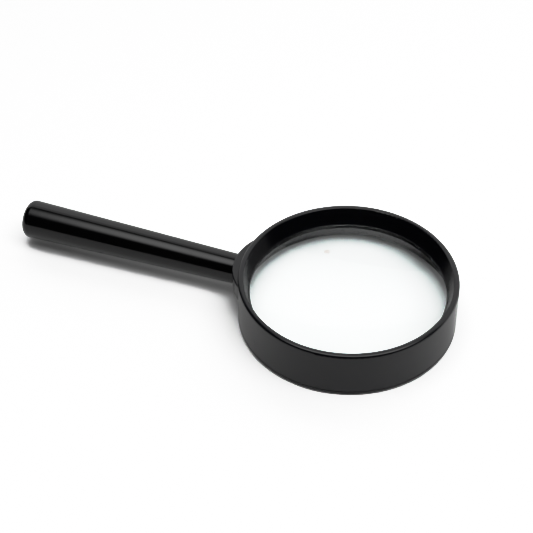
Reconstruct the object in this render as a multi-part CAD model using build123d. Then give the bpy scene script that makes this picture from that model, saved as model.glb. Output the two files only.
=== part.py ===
from build123d import *
import math
import os

# A hand magnifying glass: a deep round frame that holds a glass lens, and a straight hollow handle.
# Millimetres, +Z up. The origin is on the lens axis, in the plane that the frame rests on.
# The handle runs out of the frame along -X, and comes off it: the frame has a socket with a post
# in its middle, and a screw inside the handle pulls the handle's mouth into that socket.

# ---- Driving dimensions -------------------------------------------------------------------
LENS_DIAMETER = 75.0             # a stock size for reading lenses
FOCAL_LENGTH = 250.0             # magnifies twice
GLASS_INDEX = 1.517              # crown glass
LENS_EDGE = 2.4                  # thickness of the lens at its rim
FRAME_RADIUS = 41.0
FRAME_HEIGHT = 19.5
LENS_TOP_EDGE = 12.4             # height of the lens's upper rim above the table
HANDLE_REACH = 132.2             # from the lens axis to the far end of the handle
HANDLE_HEIGHT = 9.6              # height of the handle's axis above the table
HANDLE_RADIUS = 5.8              # where it leaves the frame's boss
HANDLE_DRAFT = 1.1               # degrees: the handle widens away from the frame
BOSS_REACH = 44.6                # from the lens axis to the front of the boss
WALL = 1.7                       # moulded wall of the handle

# ---- Fits ---------------------------------------------------------------------------------
SLIP = 0.05                      # radial gap of parts that are pushed together
TOUCH = 0.02                     # gap between faces that are clamped together
LENS_GAP = 0.1                   # radial gap round the lens
MOUTH_GAP = 0.15                 # radial gap round the handle's mouth, which shows as a dark line

# ---- Lens ---------------------------------------------------------------------------------
LENS_RADIUS = LENS_DIAMETER / 2
SURFACE_RADIUS = 2 * FOCAL_LENGTH * (GLASS_INDEX - 1)
LENS_BEVEL = 0.25
LENS_BOTTOM_EDGE = LENS_TOP_EDGE - LENS_EDGE

# ---- Frame section ------------------------------------------------------------------------
RIM_WIDTH = 2.0
RIM_RADIUS = FRAME_RADIUS - RIM_WIDTH    # inner edge of the rim, above and below
LIP_OVERLAP = 0.8                # how far the lip reaches over the glass
LIP_RADIUS = LENS_RADIUS - LIP_OVERLAP   # clear opening over the lens
LIP_THICKNESS = 0.2
LEDGE_WIDTH = 0.3                # flat top of the lip, at the foot of the sloping mouth
RIM_ROUND = 1.1                  # outer edge of the rim
RIM_INNER_ROUND = 0.45
LENS_BORE = LENS_RADIUS + LENS_GAP
FRAME_WALL = 1.2
RING_BORE = FRAME_RADIUS - FRAME_WALL    # bore that takes the retaining ring
FLANGE_THICKNESS = 1.6           # foot of the retaining ring, under the frame
FRAME_BOTTOM = FLANGE_THICKNESS + TOUCH
SEAM_CHAMFER = 0.15

# ---- Retaining ring section ---------------------------------------------------------------
FLANGE_ROUND = 0.7
RIM_LAND = 2.0                   # straight part of its opening, next to the table
GROOVE_WIDTH = 0.4               # rabbet under the lens, which keeps the seat narrow
GROOVE_DEPTH = 0.6

# ---- Boss and handle socket ---------------------------------------------------------------
BOSS_CURVE = 21.5                # plan radius of the boss's front
BOSS_TOP = 16.05                 # lower than the rim
BOSS_BOTTOM = 8.8
BOSS_ROUND = 0.6
BARREL_RADIUS = 6.3              # round body of the socket, under the boss's shoulders
SOCKET_FLOOR = FRAME_RADIUS + 0.4        # leaves the frame's wall whole behind the socket
POST_RADIUS = 3.9
POST_LENGTH = 13.5
WALL_ROOT = FRAME_RADIUS - FRAME_WALL / 2    # how far the boss reaches into the frame's wall

# ---- Handle -------------------------------------------------------------------------------
DRAFT_SLOPE = math.tan(math.radians(HANDLE_DRAFT))
HANDLE_MOUTH = SOCKET_FLOOR + TOUCH
POST_TIP = SOCKET_FLOOR + POST_LENGTH
WEB_GAP = 0.2                    # lets the handle bottom in the socket first
WEB_NEAR = POST_TIP + WEB_GAP    # the web that the screw pulls on
WEB_THICKNESS = 2.5
WEB_FAR = WEB_NEAR + WEB_THICKNESS
CAP_HEAD = 3.2                   # thickness of the end cap's head
CAP_SEAM = HANDLE_REACH - CAP_HEAD
CAP_ROUND = 2.6
CAP_PLUG = 9.0
CAP_WALL = 1.4

# ---- Screw --------------------------------------------------------------------------------
THREAD_RADIUS = 1.5
THREAD_ROOT = 1.15
THREAD_PITCH = 1.25
THREAD_TURNS = 7
SCREW_HEAD_RADIUS = 2.8
SCREW_HEAD_HEIGHT = 2.1
DRIVE_WIDTH = 0.8
DRIVE_DEPTH = 1.2

OVERSHOOT = 1.0                  # how far a cutting tool runs past the face that it cuts
SAME_PLACE = 0.01                # two measures closer than this are the same


def handle_radius(distance):
    """Outside radius of the handle at a distance from the lens axis."""
    return HANDLE_RADIUS + (distance - BOSS_REACH) * DRAFT_SLOPE


def lens_sag(radius):
    """How far a lens surface has dropped from its crown at this radius."""
    return SURFACE_RADIUS - math.sqrt(SURFACE_RADIUS**2 - radius**2)


def turned(points):
    """A solid of revolution about Z from its (radius, height) outline."""
    section = make_face(Polyline(*[(radius, 0, height) for radius, height in points], close=True))
    return revolve(section, Axis.Z, 360)


def along_handle(points):
    """A solid of revolution about the handle's axis from (distance from lens axis, radius) points."""
    corners = [(-distance, 0, HANDLE_HEIGHT + radius) for distance, radius in points]
    section = make_face(Polyline(*corners, close=True))
    return revolve(section, Axis((0, 0, HANDLE_HEIGHT), (1, 0, 0)), 360)


def circles_at(shape, height, radius):
    """The round edges of a shape that lie at one height and have one radius."""
    rings = shape.edges().filter_by(GeomType.CIRCLE)
    level = rings.filter_by(lambda edge: abs(edge.center(CenterOf.BOUNDING_BOX).Z - height) < SAME_PLACE)
    return level.filter_by(lambda edge: abs(edge.radius - radius) < SAME_PLACE)


def make_frame_ring():
    """The round wall, with its sloping mouth above the lens and the two bores below it."""
    lip_bottom = LENS_TOP_EDGE + lens_sag(LENS_RADIUS) - lens_sag(LIP_RADIUS) + TOUCH
    lip_top = lip_bottom + LIP_THICKNESS
    shoulder = LENS_BOTTOM_EDGE - TOUCH
    ring = turned([
        (FRAME_RADIUS, FRAME_BOTTOM),
        (FRAME_RADIUS, FRAME_HEIGHT),
        (RIM_RADIUS, FRAME_HEIGHT),
        (LIP_RADIUS + LEDGE_WIDTH, lip_top),
        (LIP_RADIUS, lip_top),
        (LIP_RADIUS, lip_bottom),
        (LENS_BORE, lip_bottom),
        (LENS_BORE, shoulder),
        (RING_BORE, shoulder),
        (RING_BORE, FRAME_BOTTOM),
    ])
    ring = fillet(circles_at(ring, FRAME_HEIGHT, FRAME_RADIUS), RIM_ROUND)
    ring = fillet(circles_at(ring, FRAME_HEIGHT, RIM_RADIUS), RIM_INNER_ROUND)
    return chamfer(circles_at(ring, FRAME_BOTTOM, FRAME_RADIUS), SEAM_CHAMFER)


def make_boss():
    """The curved pad on the frame's wall, and the round socket body behind the handle's mouth."""
    curve_centre = BOSS_CURVE - BOSS_REACH
    pad = Pos(curve_centre, 0, (BOSS_TOP + BOSS_BOTTOM) / 2) * Cylinder(BOSS_CURVE, BOSS_TOP - BOSS_BOTTOM)
    pad = fillet(circles_at(pad, BOSS_TOP, BOSS_CURVE), BOSS_ROUND)
    pad = fillet(circles_at(pad, BOSS_BOTTOM, BOSS_CURVE), BOSS_ROUND)
    barrel = along_handle([(0, 0), (0, BARREL_RADIUS), (BOSS_REACH, BARREL_RADIUS), (BOSS_REACH, 0)])
    barrel &= Pos(curve_centre, 0, FRAME_HEIGHT / 2) * Cylinder(BOSS_CURVE, FRAME_HEIGHT)
    return pad + barrel - Pos(0, 0, FRAME_HEIGHT / 2) * Cylinder(WALL_ROOT, FRAME_HEIGHT)


def make_lens_frame():
    """The black moulding: ring, boss, handle socket and the post that the handle's bore slides over."""
    mouth_radius = handle_radius(BOSS_REACH) + MOUTH_GAP
    beyond = BOSS_REACH + OVERSHOOT
    socket = along_handle([
        (SOCKET_FLOOR, POST_RADIUS),
        (SOCKET_FLOOR, mouth_radius),
        (beyond, mouth_radius),
        (beyond, POST_RADIUS),
    ])
    post = along_handle([
        (SOCKET_FLOOR, 0),
        (SOCKET_FLOOR, POST_RADIUS),
        (POST_TIP, POST_RADIUS),
        (POST_TIP, 0),
    ])
    pilot_start = POST_TIP - (THREAD_TURNS + 1) * THREAD_PITCH
    pilot_end = POST_TIP + OVERSHOOT
    pilot_radius = THREAD_RADIUS + TOUCH
    pilot = along_handle([
        (pilot_start, 0),
        (pilot_start, pilot_radius),
        (pilot_end, pilot_radius),
        (pilot_end, 0),
    ])
    return make_frame_ring() + make_boss() - socket + post - pilot


def make_lens():
    """A biconvex glass lens with ground bevels on its rim."""
    edge_sag = lens_sag(LENS_RADIUS)
    crown = LENS_TOP_EDGE + edge_sag
    base = LENS_BOTTOM_EDGE - edge_sag
    half = LENS_RADIUS / 2
    upper = ThreePointArc((0, 0, crown), (half, 0, crown - lens_sag(half)), (LENS_RADIUS, 0, LENS_TOP_EDGE))
    rim = Line((LENS_RADIUS, 0, LENS_TOP_EDGE), (LENS_RADIUS, 0, LENS_BOTTOM_EDGE))
    lower = ThreePointArc((LENS_RADIUS, 0, LENS_BOTTOM_EDGE), (half, 0, base + lens_sag(half)), (0, 0, base))
    axis = Line((0, 0, base), (0, 0, crown))
    glass = revolve(make_face([upper, rim, lower, axis]), Axis.Z, 360)
    rims = circles_at(glass, LENS_TOP_EDGE, LENS_RADIUS) + circles_at(glass, LENS_BOTTOM_EDGE, LENS_RADIUS)
    return chamfer(rims, LENS_BEVEL)


def make_retaining_ring():
    """Pushed in under the lens: a conical skirt that holds the glass, and the flange the frame stands on."""
    seat_radius = LIP_RADIUS + GROOVE_WIDTH
    skirt_top = LENS_BOTTOM_EDGE - lens_sag(LENS_RADIUS) + lens_sag(seat_radius) - TOUCH
    skirt_radius = RING_BORE - SLIP
    ring = turned([
        (RIM_RADIUS, 0),
        (FRAME_RADIUS, 0),
        (FRAME_RADIUS, FLANGE_THICKNESS),
        (skirt_radius, FLANGE_THICKNESS),
        (skirt_radius, skirt_top),
        (seat_radius, skirt_top),
        (seat_radius, skirt_top - GROOVE_DEPTH),
        (LIP_RADIUS, skirt_top - GROOVE_DEPTH),
        (RIM_RADIUS, RIM_LAND),
    ])
    ring = fillet(circles_at(ring, 0, FRAME_RADIUS), FLANGE_ROUND)
    return chamfer(circles_at(ring, FLANGE_THICKNESS, FRAME_RADIUS), SEAM_CHAMFER)


def make_handle_tube():
    """The tapered tube: a close bore over the post, a web for the screw, and one long open cavity."""
    post_bore = POST_RADIUS + SLIP
    screw_hole = THREAD_RADIUS + SLIP
    return along_handle([
        (HANDLE_MOUTH, post_bore),
        (HANDLE_MOUTH, handle_radius(HANDLE_MOUTH)),
        (CAP_SEAM, handle_radius(CAP_SEAM)),
        (CAP_SEAM, handle_radius(CAP_SEAM) - WALL),
        (WEB_FAR, handle_radius(WEB_FAR) - WALL),
        (WEB_FAR, screw_hole),
        (WEB_NEAR, screw_hole),
        (WEB_NEAR, post_bore),
    ])


def make_handle_screw():
    """Pan-head screw with a cross recess: through the handle's web, into the frame's post."""
    seat = WEB_FAR + TOUCH
    tip = POST_TIP - THREAD_TURNS * THREAD_PITCH
    outline = [(tip, 0), (tip, THREAD_ROOT / 2)]
    for turn in range(THREAD_TURNS):
        start = tip + turn * THREAD_PITCH
        outline.append((start + THREAD_PITCH / 4, THREAD_ROOT))
        outline.append((start + THREAD_PITCH / 2, THREAD_RADIUS))
        outline.append((start + THREAD_PITCH, THREAD_ROOT))
    outline += [
        (seat, THREAD_ROOT),
        (seat, SCREW_HEAD_RADIUS),
        (seat + SCREW_HEAD_HEIGHT / 2, SCREW_HEAD_RADIUS),
        (seat + SCREW_HEAD_HEIGHT, SCREW_HEAD_RADIUS / 2),
        (seat + SCREW_HEAD_HEIGHT, 0),
    ]
    screw = along_handle(outline)
    recess_centre = Pos(-(seat + SCREW_HEAD_HEIGHT - DRIVE_DEPTH / 2), 0, HANDLE_HEIGHT)
    for width, height in ((DRIVE_WIDTH, SCREW_HEAD_RADIUS), (SCREW_HEAD_RADIUS, DRIVE_WIDTH)):
        screw -= recess_centre * Box(DRIVE_DEPTH, width, height)
    return screw


def make_end_cap():
    """Closes the handle: a rounded head that carries the taper on, and a hollow plug inside the tube."""
    seam = CAP_SEAM + TOUCH
    plug_end = CAP_SEAM - CAP_PLUG
    plug_far_radius = handle_radius(CAP_SEAM) - WALL - SLIP
    plug_near_radius = handle_radius(plug_end) - WALL - SLIP
    cavity = plug_near_radius - CAP_WALL
    cap = along_handle([
        (plug_end, cavity),
        (plug_end, plug_near_radius),
        (seam, plug_far_radius),
        (seam, handle_radius(seam)),
        (HANDLE_REACH, handle_radius(HANDLE_REACH)),
        (HANDLE_REACH, 0),
        (seam, 0),
        (seam, cavity),
    ])
    far_edges = cap.edges().filter_by(GeomType.CIRCLE).sort_by(Axis.X)[:1]
    return fillet(far_edges, CAP_ROUND)


PARTS = {
    "lens_frame": make_lens_frame,
    "lens": make_lens,
    "retaining_ring": make_retaining_ring,
    "handle_tube": make_handle_tube,
    "handle_screw": make_handle_screw,
    "end_cap": make_end_cap,
}

os.makedirs("parts", exist_ok=True)
for node, make in PARTS.items():
    solid = make()
    solid.label = node
    export_step(solid, f"parts/{node}.step")
    print(node, "volume", round(solid.volume, 1))
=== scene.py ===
import bpy
import math
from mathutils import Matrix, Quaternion, Vector

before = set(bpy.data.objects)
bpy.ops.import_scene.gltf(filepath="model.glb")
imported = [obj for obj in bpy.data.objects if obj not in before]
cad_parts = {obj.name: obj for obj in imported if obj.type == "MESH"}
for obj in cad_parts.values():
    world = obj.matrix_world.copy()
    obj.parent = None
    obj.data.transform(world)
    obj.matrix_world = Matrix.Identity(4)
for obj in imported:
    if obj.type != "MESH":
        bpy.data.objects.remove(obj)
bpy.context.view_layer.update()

scene = bpy.context.scene

# ---- Driving values: lengths are in metres where nothing else is said -----------------------
MM = 0.001
X_AXIS = Vector((1.0, 0.0, 0.0))
Y_AXIS = Vector((0.0, 1.0, 0.0))
Z_AXIS = Vector((0.0, 0.0, 1.0))

CAMERA_PLACE = Vector((0.1206, -0.4133, 0.4254))
CAMERA_FORWARD = Vector((-0.2538, 0.6861, -0.6818))
CAMERA_ROLL = math.radians(-0.358)
CAMERA_LENS = 108.07             # mm
CAMERA_SENSOR = 36.0             # mm
CAMERA_NEAR = 0.01
CAMERA_FAR = 50.0

TABLE_HALF = 6.0
TABLE_GREY = 0.80

BACKDROP_DISTANCE = 1.1
BACKDROP_HALF_WIDTH = 2.4
BACKDROP_TOP = 2.10
BACKDROP_FOOT_GLOW = 0.70
BACKDROP_MIDDLE_GLOW = 1.08
BACKDROP_TOP_SHARE = 0.70        # of the middle's glow

SOFTBOX_CENTRE = Vector((0.24, -0.11, 0.90))
SOFTBOX_HALF_WIDTH = 0.82        # along X
SOFTBOX_HALF_DEPTH = 0.52        # along Y
SOFTBOX_EVEN_WIDTH = 0.67        # share of the half width before the glow fades
SOFTBOX_EVEN_DEPTH = 0.10        # the same for the half depth
SOFTBOX_GLOW = 3.75              # in its middle

WORLD_GREY = 0.01

TONE_CURVE = ((0.08, 0.07), (0.15, 0.11), (0.22, 0.16), (0.28, 0.24), (0.35, 0.45),
              (0.43, 0.75), (0.50, 0.865), (0.58, 0.93), (0.78, 1.0))     # light in, light shown

PLASTIC_IOR = 1.46
FRAME_BLACK = (0.0030, 0.0031, 0.0046)
FRAME_FLOW = (0.4, 0.4, 1.0)     # a small number draws the plastic's streaks out along that axis
HANDLE_BLACK = (0.0010, 0.0010, 0.0011)
HANDLE_FLOW = (0.08, 1.0, 1.0)

GLASS_IOR = 1.517
GLASS_TINT = (0.925, 0.945, 0.943)
GROUND_TINT = (0.35, 0.38, 0.40)
POLISHED_RADIUS = 37.28 * MM     # the glass is polished up to here
GROUND_RADIUS = 37.34 * MM       # and ground from here on

SMEAR_PLACE = Vector((-13.7, 16.0, 14.3)) * MM    # a dried drop on the glass
SMEAR_RADIUS = 1.4 * MM
SMEAR_TINT = (0.73, 0.62, 0.57)


# ---- Small helpers for node trees ---------------------------------------------------------
def colour(red, green, blue, share=1.0):
    """An opaque colour, with each channel multiplied by the share."""
    return (share * red, share * green, share * blue, 1.0)


def grey(level):
    return colour(level, level, level)


class Nodes:
    """A material's node tree, with short calls for the nodes that are used again and again."""

    def __init__(self, name):
        self.material = bpy.data.materials.new(name)
        self.material.use_nodes = True
        self.tree = self.material.node_tree
        self.shader = self.tree.nodes["Principled BSDF"]
        self.place = self.add("ShaderNodeTexCoord").outputs["Object"]

    def add(self, kind):
        return self.tree.nodes.new(kind)

    def link(self, value, socket):
        """Sets a socket to a number or colour, or links another node's output to it."""
        if isinstance(value, bpy.types.NodeSocket):
            self.tree.links.new(value, socket)
        else:
            socket.default_value = value

    def calculate(self, operation, first, second=0.0):
        node = self.add("ShaderNodeMath")
        node.operation = operation
        self.link(first, node.inputs[0])
        self.link(second, node.inputs[1])
        return node.outputs[0]

    def with_marks(self, start, *marks):
        """The start value, with each mark's amount added where the mark is."""
        total = start
        for mark, amount in marks:
            total = self.calculate("ADD", total, self.calculate("MULTIPLY", mark, amount))
        return total

    def between(self, value, low, high, at_low=0.0, at_high=1.0):
        """Smooth step: at_low up to low, at_high from high on."""
        node = self.add("ShaderNodeMapRange")
        node.interpolation_type = "SMOOTHSTEP"
        self.link(value, node.inputs["Value"])
        node.inputs["From Min"].default_value = low
        node.inputs["From Max"].default_value = high
        node.inputs["To Min"].default_value = at_low
        node.inputs["To Max"].default_value = at_high
        return node.outputs["Result"]

    def fading(self, value, low, high):
        """1 up to low, 0 from high on."""
        return self.between(value, low, high, at_low=1.0, at_high=0.0)

    def above(self, value, limit, soft):
        """0 up to the limit, and 1 where the value is past it by more than soft."""
        return self.between(value, limit, limit + soft)

    def axes(self):
        """The place on the object as three numbers, named X, Y and Z."""
        node = self.add("ShaderNodeSeparateXYZ")
        self.link(self.place, node.inputs[0])
        return node.outputs

    def stretched(self, scale):
        """The place on the object, with each axis multiplied by its own number."""
        node = self.add("ShaderNodeMapping")
        self.link(self.place, node.inputs["Vector"])
        node.inputs["Scale"].default_value = scale
        return node.outputs["Vector"]

    def noise(self, scale, detail=2.0, place=None):
        node = self.add("ShaderNodeTexNoise")
        self.link(place or self.place, node.inputs["Vector"])
        node.inputs["Scale"].default_value = scale
        node.inputs["Detail"].default_value = detail
        return node.outputs["Fac"]

    def cells(self, scale, feature="F1", place=None):
        node = self.add("ShaderNodeTexVoronoi")
        node.feature = feature
        self.link(place or self.place, node.inputs["Vector"])
        node.inputs["Scale"].default_value = scale
        return node.outputs

    def mix(self, share, first, second):
        """The first colour where the share is 0, the second where it is 1."""
        node = self.add("ShaderNodeMix")
        node.data_type = "RGBA"
        self.link(share, node.inputs["Factor"])
        self.link(first, node.inputs["A"])
        self.link(second, node.inputs["B"])
        return node.outputs["Result"]

    def bump(self, height, distance, strength=1.0, normal=None):
        node = self.add("ShaderNodeBump")
        node.inputs["Distance"].default_value = distance
        self.link(strength, node.inputs["Strength"])
        self.link(height, node.inputs["Height"])
        if normal:
            self.link(normal, node.inputs["Normal"])
        return node.outputs["Normal"]

    def rounded(self, radius):
        """The normal, rounded over within this distance of an edge."""
        node = self.add("ShaderNodeBevel")
        node.samples = 6
        node.inputs["Radius"].default_value = radius
        return node.outputs["Normal"]

    def edges(self, radius, sharp=0.25):
        """1 along an edge and 0 away from it."""
        turn = self.add("ShaderNodeVectorMath")
        turn.operation = "DOT_PRODUCT"
        self.link(self.rounded(radius), turn.inputs[0])
        self.link(self.add("ShaderNodeNewGeometry").outputs["Normal"], turn.inputs[1])
        return self.fading(turn.outputs["Value"], 1.0 - sharp, 1.0)

    def spot(self, centre, radius, ragged, fade=1.7):
        """1 in the middle of a round mark, 0 from fade radii on, with an edge that wanders."""
        node = self.add("ShaderNodeVectorMath")
        node.operation = "DISTANCE"
        self.link(self.place, node.inputs[0])
        node.inputs[1].default_value = centre
        distance = self.with_marks(node.outputs["Value"], (self.noise(ragged), radius))
        return self.fading(distance, radius, fade * radius)

    def finish(self, **values):
        """Sets the shader's inputs, with an underscore for each space in an input's name."""
        for name, value in values.items():
            self.link(value, self.shader.inputs[name.replace("_", " ")])
        return self.material

    def finish_glowing(self, strength):
        """Makes a surface that only glows and reflects nothing."""
        return self.finish(Base_Color=grey(0.0), Roughness=1.0, Specular_IOR_Level=0.0,
                           Emission_Color=grey(1.0), Emission_Strength=strength)


# ---- Marks that several materials share ---------------------------------------------------
def scratches(nodes, scale, width, amount):
    """Broken hairlines that run every way: the edges of stretched cells, cut up by noise."""
    place = nodes.stretched((1.0, 0.35, 0.8))
    line = nodes.cells(scale, "DISTANCE_TO_EDGE", place)["Distance"]
    cut = nodes.above(nodes.noise(0.7 * scale, detail=3.0), 1.0 - amount, soft=0.08)
    return nodes.calculate("MULTIPLY", nodes.fading(line, 0.0, width), cut)


def specks(nodes, scale, size, share):
    """Sparse grains of dust: the middles of a few cells."""
    cell = nodes.cells(scale)
    grain = nodes.fading(cell["Distance"], 0.5 * size, size)
    pick = nodes.above(cell["Color"], 1.0 - share, soft=0.01)
    return nodes.calculate("MULTIPLY", grain, pick)


# ---- Materials of the pieces --------------------------------------------------------------
def moulded_plastic(name, roughness, flow, black):
    """Glossy black injection-moulded plastic, handled for years."""
    nodes = Nodes(name)
    peel = nodes.noise(scale=520.0)
    streaks = nodes.noise(scale=60.0, detail=3.0, place=nodes.stretched(flow))
    handled = nodes.between(nodes.noise(scale=95.0, detail=4.0), low=0.42, high=0.72)
    hairs = scratches(nodes, scale=130.0, width=0.012, amount=0.42)
    fine_hairs = scratches(nodes, scale=420.0, width=0.02, amount=0.45)
    dust = specks(nodes, scale=1150.0, size=0.10, share=0.018)
    rubbed = nodes.between(nodes.noise(scale=700.0, detail=3.0), low=0.35, high=0.7)
    worn = nodes.calculate("MULTIPLY", nodes.edges(radius=0.35 * MM), rubbed)

    tone = nodes.mix(streaks, colour(*black, share=0.7), colour(*black, share=1.3))
    tone = nodes.mix(worn, tone, colour(0.010, 0.010, 0.011))
    tone = nodes.mix(dust, tone, colour(0.30, 0.29, 0.27))
    rough = nodes.with_marks(roughness, (handled, 0.05), (hairs, 0.12), (fine_hairs, 0.06),
                             (worn, 0.12), (dust, 0.5))

    normal = nodes.rounded(radius=0.12 * MM)
    normal = nodes.bump(peel, distance=0.006 * MM, normal=normal)
    normal = nodes.bump(hairs, distance=-0.004 * MM, normal=normal)
    normal = nodes.bump(dust, distance=0.05 * MM, strength=0.6, normal=normal)
    return nodes.finish(Base_Color=tone, Roughness=rough, IOR=PLASTIC_IOR, Normal=normal)


def lens_glass():
    """Clear crown glass: a ground rim, a little dust, the film of finger marks and one smear."""
    nodes = Nodes("lens_glass")
    place = nodes.axes()
    squares = [nodes.calculate("MULTIPLY", place[axis], place[axis]) for axis in ("X", "Y")]
    from_axis = nodes.calculate("SQRT", nodes.calculate("ADD", *squares))
    ground = nodes.between(from_axis, POLISHED_RADIUS, GROUND_RADIUS)

    marks = nodes.between(nodes.noise(scale=70.0, detail=5.0), low=0.58, high=0.78)
    ridges = nodes.noise(scale=2600.0, detail=1.0, place=nodes.stretched((1.0, 0.25, 1.0)))
    film = nodes.calculate("MULTIPLY", marks, nodes.between(ridges, low=0.45, high=0.6))
    dust = specks(nodes, scale=900.0, size=0.085, share=0.02)
    smear = nodes.spot(SMEAR_PLACE, SMEAR_RADIUS, ragged=900.0)

    rough = nodes.with_marks(0.0, (film, 0.02), (ground, 0.25), (dust, 0.4))
    clear = nodes.with_marks(1.0, (dust, -0.7), (smear, -0.06))
    tint = nodes.mix(dust, colour(*GLASS_TINT), grey(0.8))
    tint = nodes.mix(ground, tint, colour(*GROUND_TINT))
    tint = nodes.mix(smear, tint, colour(*SMEAR_TINT))
    normal = nodes.bump(nodes.noise(scale=900.0), distance=0.02 * MM, strength=ground)
    return nodes.finish(Base_Color=tint, Roughness=rough, IOR=GLASS_IOR,
                        Transmission_Weight=clear, Normal=normal)


def turned_steel():
    """Zinc-bright steel with the fine rings that turning leaves."""
    nodes = Nodes("screw_steel")
    rings = nodes.noise(scale=9000.0, place=nodes.stretched((1.0, 0.05, 0.05)))
    stain = nodes.between(nodes.noise(scale=700.0, detail=4.0), low=0.45, high=0.7)
    metal = nodes.mix(stain, colour(0.62, 0.62, 0.60), colour(0.45, 0.42, 0.36))
    rough = nodes.with_marks(0.22, (rings, 0.2))
    return nodes.finish(Base_Color=metal, Roughness=rough, Metallic=1.0,
                        Normal=nodes.bump(rings, distance=0.004 * MM))


handle_plastic = moulded_plastic("handle_plastic", 0.10, HANDLE_FLOW, HANDLE_BLACK)
MATERIALS = {
    "lens_frame": moulded_plastic("frame_plastic", 0.17, FRAME_FLOW, FRAME_BLACK),
    "retaining_ring": moulded_plastic("ring_plastic", 0.20, FRAME_FLOW, FRAME_BLACK),
    "handle_tube": handle_plastic,
    "end_cap": handle_plastic,
    "lens": lens_glass(),
    "handle_screw": turned_steel(),
}
for node, material in MATERIALS.items():
    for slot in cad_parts[node].material_slots:
        slot.material = material


# ---- Materials of the studio --------------------------------------------------------------
def pale_paper():
    """The plain surface that the object lies on."""
    nodes = Nodes("pale_paper")
    dust = specks(nodes, scale=60.0, size=0.012, share=0.05)
    white = nodes.mix(dust, grey(TABLE_GREY), grey(0.35))
    tooth = nodes.bump(nodes.noise(scale=1500.0, detail=3.0), distance=0.01 * MM, strength=0.4)
    return nodes.finish(Base_Color=white, Roughness=0.6, Normal=tooth)


def backdrop_glow():
    """A glow that rises from the backdrop's foot to its middle, and falls off a little above it."""
    nodes = Nodes("backdrop_glow")
    height = nodes.axes()["Z"]
    middle = BACKDROP_TOP / 2
    rise = nodes.between(height, 0.0, middle, BACKDROP_FOOT_GLOW, BACKDROP_MIDDLE_GLOW)
    fall = nodes.between(height, middle, BACKDROP_TOP, 1.0, BACKDROP_TOP_SHARE)
    return nodes.finish_glowing(nodes.calculate("MULTIPLY", rise, fall))


def softbox_glow():
    """A soft light that is even round its middle and fades out towards its edges."""
    nodes = Nodes("softbox_glow")
    place = nodes.axes()
    strength = SOFTBOX_GLOW
    for axis, centre, half, even in (("X", SOFTBOX_CENTRE.x, SOFTBOX_HALF_WIDTH, SOFTBOX_EVEN_WIDTH),
                                     ("Y", SOFTBOX_CENTRE.y, SOFTBOX_HALF_DEPTH, SOFTBOX_EVEN_DEPTH)):
        offset = nodes.calculate("ABSOLUTE", nodes.calculate("SUBTRACT", place[axis], centre))
        strength = nodes.calculate("MULTIPLY", nodes.fading(offset, even * half, half), strength)
    return nodes.finish_glowing(strength)


# ---- Table, backdrop and softbox ----------------------------------------------------------
def add_sheet(name, centre, across, along, material):
    """A flat sheet of the studio, with across and along as its half sides."""
    corners = [centre + u * across + v * along for u, v in ((-1, -1), (1, -1), (1, 1), (-1, 1))]
    mesh = bpy.data.meshes.new(name)
    mesh.from_pydata(corners, [], [range(len(corners))])
    mesh.materials.append(material)
    sheet = bpy.data.objects.new(name, mesh)
    scene.collection.objects.link(sheet)


add_sheet("table", Vector(), TABLE_HALF * X_AXIS, TABLE_HALF * Y_AXIS, pale_paper())
add_sheet("backdrop", BACKDROP_DISTANCE * Y_AXIS + BACKDROP_TOP / 2 * Z_AXIS,
          BACKDROP_HALF_WIDTH * X_AXIS, BACKDROP_TOP / 2 * Z_AXIS, backdrop_glow())
add_sheet("softbox", SOFTBOX_CENTRE, SOFTBOX_HALF_DEPTH * Y_AXIS, SOFTBOX_HALF_WIDTH * X_AXIS,
          softbox_glow())

# ---- World, camera and tones --------------------------------------------------------------
world = bpy.data.worlds.new("studio")
world.use_nodes = True
world.node_tree.nodes["Background"].inputs["Color"].default_value = grey(WORLD_GREY)
scene.world = world

camera_data = bpy.data.cameras.new("camera")
camera_data.sensor_width = CAMERA_SENSOR
camera_data.lens = CAMERA_LENS
camera_data.clip_start = CAMERA_NEAR
camera_data.clip_end = CAMERA_FAR
camera = bpy.data.objects.new("camera", camera_data)
camera.location = CAMERA_PLACE
camera.rotation_mode = "QUATERNION"
level = CAMERA_FORWARD.to_track_quat("-Z", "Y")
camera.rotation_quaternion = level @ Quaternion(Z_AXIS, CAMERA_ROLL)
scene.collection.objects.link(camera)
scene.camera = camera

# The light that the lens gathers on the table is neither cut off nor blurred.
scene.cycles.sample_clamp_indirect = 0.0
scene.cycles.blur_glossy = 0.0

# The photo's pale tones are whitened and its blacks are not, and this curve does the same.
scene.view_settings.view_transform = "Standard"
scene.view_settings.use_curve_mapping = True
curve = scene.view_settings.curve_mapping.curves[3]     # the one for all three channels
curve.points[0].location = (0.0, 0.0)
curve.points[1].location = (1.0, 1.0)
for light_in, light_shown in TONE_CURVE:
    curve.points.new(light_in, light_shown)
for point in curve.points:
    point.handle_type = "AUTO_CLAMPED"
scene.view_settings.curve_mapping.update()
